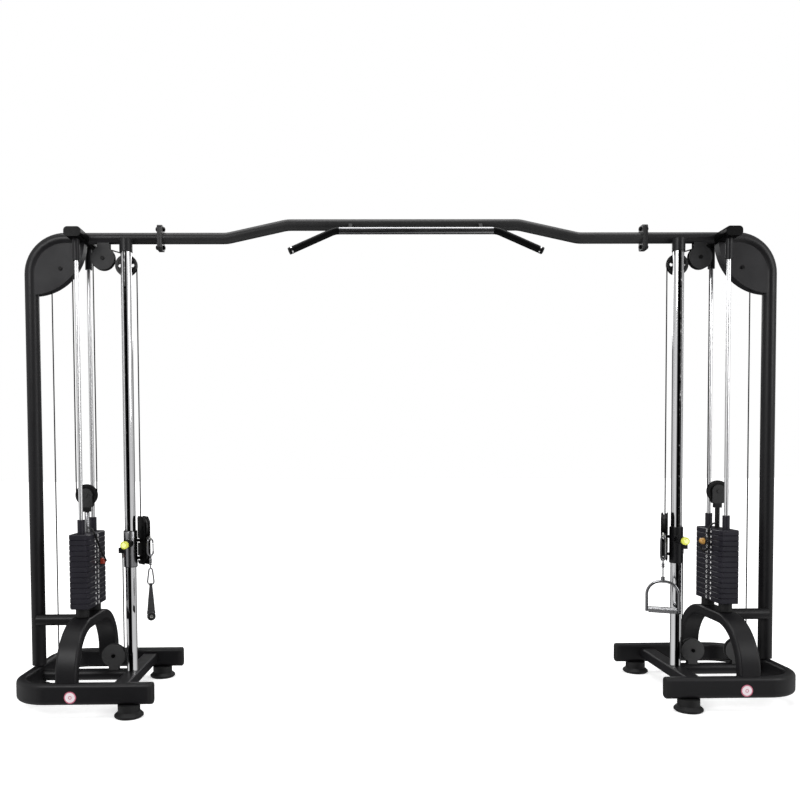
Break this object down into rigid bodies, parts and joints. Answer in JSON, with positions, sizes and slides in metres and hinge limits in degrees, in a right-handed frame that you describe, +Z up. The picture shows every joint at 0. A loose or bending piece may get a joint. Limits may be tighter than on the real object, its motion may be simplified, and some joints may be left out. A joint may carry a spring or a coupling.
{
  "type": "cable crossover machine",
  "caption": "Cable crossover: two weight-stack towers on U-shaped bases, joined by a raised crossbeam with a pull-up bar, each with a sliding pulley carriage and handle.",
  "frame": {"origin": "on the floor, at the centre of the footprint", "axes": "+X to the user's right across the machine when facing it, -Y towards the user, +Z up"},
  "size_m": [3.732, 0.8056, 2.3224],
  "materials": {
    "frame_paint": "satin charcoal-black powder coat",
    "cover_paint": "satin charcoal-black powder coat",
    "weight_paint": "black enamel",
    "chrome": "polished",
    "steel": "zinc plated",
    "pulley_nylon": "black glass-filled nylon",
    "guard_paint": "satin black",
    "cable_jacket": "black nylon jacket over steel cable",
    "rubber": "black rubber",
    "pull_knob": "yellow knob",
    "selector_knob": "orange knob",
    "webbing": "black nylon webbing",
    "grip_plastic": "black grip",
    "carriage_paint": "satin black"
  },
  "bodies": {
    "frame": {"upright_left": "frame_paint", "upright_right": "frame_paint", "crossbeam": "frame_paint", "bolts": "steel", "pull_up_bar": "frame_paint", "base_left": "frame_paint", "base_right": "frame_paint", "stack_arches": "frame_paint", "rail_end_caps": "rubber", "feet": "rubber", "guide_rods": "chrome", "stack_bumpers": "rubber", "columns": "chrome", "top_pulley_guards": "guard_paint", "bend_covers": "cover_paint", "bottom_pulley_guards": "guard_paint", "resting_plates": "weight_paint", "fixed_cables": "cable_jacket", "lift_strands_left": "cable_jacket", "upper_strand_left": "cable_jacket", "lower_strand_left": "cable_jacket", "lift_strands_right": "cable_jacket", "upper_strand_right": "cable_jacket", "lower_strand_right": "cable_jacket"},
    "stack_left": {"lifted_plates_left": "weight_paint", "stack_stem_left": "steel"},
    "selector_pin_left": {"selector_pin_left": "selector_knob"},
    "floating_pulley_left": {"floating_pulley_left": "pulley_nylon"},
    "outer_top_pulley_left": {"outer_top_pulley_left": "pulley_nylon"},
    "inner_top_pulley_left": {"inner_top_pulley_left": "pulley_nylon"},
    "spoked_pulley_left": {"spoked_pulley_left": "pulley_nylon"},
    "inner_bottom_pulley_left": {"inner_bottom_pulley_left": "pulley_nylon"},
    "outer_bottom_pulley_left": {"outer_bottom_pulley_left": "pulley_nylon"},
    "carriage_left": {"carriage_left": "carriage_paint"},
    "pop_pin_left": {"pop_pin_left": "pull_knob"},
    "swivel_yoke_left": {"swivel_yoke_left": "carriage_paint"},
    "upper_head_pulley_left": {"upper_head_pulley_left": "pulley_nylon"},
    "lower_head_pulley_left": {"lower_head_pulley_left": "pulley_nylon"},
    "cable_end_left": {"cable_end_left": "rubber"},
    "hook_left": {"snap_hook_left": "chrome"},
    "handle_left": {"strap_handle": "webbing"},
    "grip_left": {"strap_grip": "grip_plastic"},
    "stack_right": {"lifted_plates_right": "weight_paint", "stack_stem_right": "steel"},
    "selector_pin_right": {"selector_pin_right": "selector_knob"},
    "floating_pulley_right": {"floating_pulley_right": "pulley_nylon"},
    "outer_top_pulley_right": {"outer_top_pulley_right": "pulley_nylon"},
    "inner_top_pulley_right": {"inner_top_pulley_right": "pulley_nylon"},
    "spoked_pulley_right": {"spoked_pulley_right": "pulley_nylon"},
    "inner_bottom_pulley_right": {"inner_bottom_pulley_right": "pulley_nylon"},
    "outer_bottom_pulley_right": {"outer_bottom_pulley_right": "pulley_nylon"},
    "carriage_right": {"carriage_right": "carriage_paint"},
    "pop_pin_right": {"pop_pin_right": "pull_knob"},
    "swivel_yoke_right": {"swivel_yoke_right": "carriage_paint"},
    "upper_head_pulley_right": {"upper_head_pulley_right": "pulley_nylon"},
    "lower_head_pulley_right": {"lower_head_pulley_right": "pulley_nylon"},
    "cable_end_right": {"cable_end_right": "rubber"},
    "hook_right": {"snap_hook_right": "chrome"},
    "handle_right": {"d_handle": "chrome"},
    "grip_right": {"d_grip": "chrome"}
  },
  "joints": [
    {"name": "stack_lift_left", "type": "slide", "parent": "frame", "child": "stack_left", "axis": [0, 0, 1], "range_m": [0, 0.95], "deforming": ["lift_strands_left"]},
    {"name": "selector_pin_pull_left", "type": "slide", "parent": "stack_left", "child": "selector_pin_left", "axis": [1, 0, 0], "range_m": [0, 0.062]},
    {"name": "floating_pulley_turn_left", "type": "hinge", "parent": "stack_left", "child": "floating_pulley_left", "pos_m": [-1.555, 0, 0.99], "axis": [0, 1, 0], "continuous": true},
    {"name": "inner_top_pulley_turn_left", "type": "hinge", "parent": "frame", "child": "inner_top_pulley_left", "pos_m": [-1.455, 0, 2.136], "axis": [0, 1, 0], "continuous": true},
    {"name": "spoked_pulley_turn_left", "type": "hinge", "parent": "frame", "child": "spoked_pulley_left", "pos_m": [-1.344, 0, 2.102], "axis": [0, 1, 0], "continuous": true},
    {"name": "carriage_slide_left", "type": "slide", "parent": "frame", "child": "carriage_left", "axis": [0, 0, 1], "range_m": [-0.153, 1.072], "deforming": ["upper_strand_left", "lower_strand_left"]},
    {"name": "outer_top_pulley_turn_left", "type": "hinge", "parent": "frame", "child": "outer_top_pulley_left", "pos_m": [-1.655, 0, 2.083], "axis": [0, 1, 0], "continuous": true},
    {"name": "inner_bottom_pulley_turn_left", "type": "hinge", "parent": "frame", "child": "inner_bottom_pulley_left", "pos_m": [-1.434, 0, 0.198], "axis": [0, 1, 0], "continuous": true},
    {"name": "outer_bottom_pulley_turn_left", "type": "hinge", "parent": "frame", "child": "outer_bottom_pulley_left", "pos_m": [-1.655, 0, 0.198], "axis": [0, 1, 0], "continuous": true},
    {"name": "pop_pin_pull_left", "type": "slide", "parent": "carriage_left", "child": "pop_pin_left", "axis": [0, -1, 0], "range_m": [0, 0.014], "stiffness_N_per_m": 900, "springref_m": -0.01},
    {"name": "swivel_turn_left", "type": "hinge", "parent": "carriage_left", "child": "swivel_yoke_left", "pos_m": [-1.294, 0, 0.76], "axis": [0, 0, 1], "range_deg": [-18, 92]},
    {"name": "upper_head_pulley_turn_left", "type": "hinge", "parent": "swivel_yoke_left", "child": "upper_head_pulley_left", "pos_m": [-1.26604, -0.04145, 0.832], "axis": [0.829, 0.5592, 0], "continuous": true},
    {"name": "lower_head_pulley_turn_left", "type": "hinge", "parent": "swivel_yoke_left", "child": "lower_head_pulley_left", "pos_m": [-1.26269, -0.04643, 0.716], "axis": [0.829, 0.5592, 0], "continuous": true},
    {"name": "cable_pull_left", "type": "slide", "parent": "swivel_yoke_left", "child": "cable_end_left", "axis": [0.5592, -0.829, 0], "range_m": [0, 1.9]},
    {"name": "hook_swing_left", "type": "hinge", "parent": "cable_end_left", "child": "hook_left", "pos_m": [-1.22354, -0.10446, 0.7824], "axis": [0.829, 0.5592, 0], "range_deg": [-50, 6]},
    {"name": "handle_swivel_left", "type": "hinge", "parent": "hook_left", "child": "handle_left", "pos_m": [-1.22354, -0.10446, 0.6], "axis": [0, 0, 1], "continuous": true},
    {"name": "grip_turn_left", "type": "hinge", "parent": "handle_left", "child": "grip_left", "pos_m": [-1.22354, -0.10446, 0.42], "axis": [-0.2419, 0.9703, 0], "continuous": true},
    {"name": "stack_lift_right", "type": "slide", "parent": "frame", "child": "stack_right", "axis": [0, 0, 1], "range_m": [0, 0.95], "deforming": ["lift_strands_right"]},
    {"name": "selector_pin_pull_right", "type": "slide", "parent": "stack_right", "child": "selector_pin_right", "axis": [-1, 0, 0], "range_m": [0, 0.062]},
    {"name": "floating_pulley_turn_right", "type": "hinge", "parent": "stack_right", "child": "floating_pulley_right", "pos_m": [1.555, 0, 0.99], "axis": [0, 1, 0], "continuous": true},
    {"name": "inner_top_pulley_turn_right", "type": "hinge", "parent": "frame", "child": "inner_top_pulley_right", "pos_m": [1.455, 0, 2.136], "axis": [0, 1, 0], "continuous": true},
    {"name": "spoked_pulley_turn_right", "type": "hinge", "parent": "frame", "child": "spoked_pulley_right", "pos_m": [1.344, 0, 2.102], "axis": [0, 1, 0], "continuous": true},
    {"name": "carriage_slide_right", "type": "slide", "parent": "frame", "child": "carriage_right", "axis": [0, 0, 1], "range_m": [-0.153, 1.072], "deforming": ["upper_strand_right", "lower_strand_right"]},
    {"name": "outer_top_pulley_turn_right", "type": "hinge", "parent": "frame", "child": "outer_top_pulley_right", "pos_m": [1.655, 0, 2.083], "axis": [0, 1, 0], "continuous": true},
    {"name": "inner_bottom_pulley_turn_right", "type": "hinge", "parent": "frame", "child": "inner_bottom_pulley_right", "pos_m": [1.434, 0, 0.198], "axis": [0, 1, 0], "continuous": true},
    {"name": "outer_bottom_pulley_turn_right", "type": "hinge", "parent": "frame", "child": "outer_bottom_pulley_right", "pos_m": [1.655, 0, 0.198], "axis": [0, 1, 0], "continuous": true},
    {"name": "pop_pin_pull_right", "type": "slide", "parent": "carriage_right", "child": "pop_pin_right", "axis": [0, -1, 0], "range_m": [0, 0.014], "stiffness_N_per_m": 900, "springref_m": -0.01},
    {"name": "swivel_turn_right", "type": "hinge", "parent": "carriage_right", "child": "swivel_yoke_right", "pos_m": [1.294, 0, 0.76], "axis": [0, 0, 1], "range_deg": [-101, 9]},
    {"name": "upper_head_pulley_turn_right", "type": "hinge", "parent": "swivel_yoke_right", "child": "upper_head_pulley_right", "pos_m": [1.27287, -0.04532, 0.832], "axis": [0.9063, -0.4226, 0], "continuous": true},
    {"name": "lower_head_pulley_turn_right", "type": "hinge", "parent": "swivel_yoke_right", "child": "lower_head_pulley_right", "pos_m": [1.27033, -0.05075, 0.716], "axis": [0.9063, -0.4226, 0], "continuous": true},
    {"name": "cable_pull_right", "type": "slide", "parent": "swivel_yoke_right", "child": "cable_end_right", "axis": [-0.4226, -0.9063, 0], "range_m": [0, 1.9]},
    {"name": "hook_swing_right", "type": "hinge", "parent": "cable_end_right", "child": "hook_right", "pos_m": [1.24075, -0.1142, 0.7824], "axis": [0.9063, -0.4226, 0], "range_deg": [-50, 6]},
    {"name": "handle_swivel_right", "type": "hinge", "parent": "hook_right", "child": "handle_right", "pos_m": [1.24075, -0.1142, 0.6], "axis": [0, 0, 1], "continuous": true},
    {"name": "grip_turn_right", "type": "hinge", "parent": "handle_right", "child": "grip_right", "pos_m": [1.24075, -0.1142, 0.421], "axis": [0.9063, -0.4226, 0], "continuous": true}
  ],
  "couplings": [
    {"joint": "floating_pulley_turn_left", "follows": "stack_lift_left", "rad_per_m": -20},
    {"joint": "inner_top_pulley_turn_left", "follows": "stack_lift_left", "rad_per_m": 40},
    {"joint": "spoked_pulley_turn_left", "follows": "stack_lift_left", "rad_per_m": 40},
    {"joint": "upper_head_pulley_turn_left", "follows": "stack_lift_left", "rad_per_m": -40},
    {"joint": "cable_pull_left", "follows": "stack_lift_left", "ratio": 2},
    {"joint": "outer_top_pulley_turn_left", "follows": "carriage_slide_left", "rad_per_m": -20},
    {"joint": "inner_bottom_pulley_turn_left", "follows": "carriage_slide_left", "rad_per_m": -20},
    {"joint": "outer_bottom_pulley_turn_left", "follows": "carriage_slide_left", "rad_per_m": -20},
    {"joint": "floating_pulley_turn_right", "follows": "stack_lift_right", "rad_per_m": 20},
    {"joint": "inner_top_pulley_turn_right", "follows": "stack_lift_right", "rad_per_m": -40},
    {"joint": "spoked_pulley_turn_right", "follows": "stack_lift_right", "rad_per_m": -40},
    {"joint": "upper_head_pulley_turn_right", "follows": "stack_lift_right", "rad_per_m": -40},
    {"joint": "cable_pull_right", "follows": "stack_lift_right", "ratio": 2},
    {"joint": "outer_top_pulley_turn_right", "follows": "carriage_slide_right", "rad_per_m": 20},
    {"joint": "inner_bottom_pulley_turn_right", "follows": "carriage_slide_right", "rad_per_m": 20},
    {"joint": "outer_bottom_pulley_turn_right", "follows": "carriage_slide_right", "rad_per_m": 20}
  ]
}
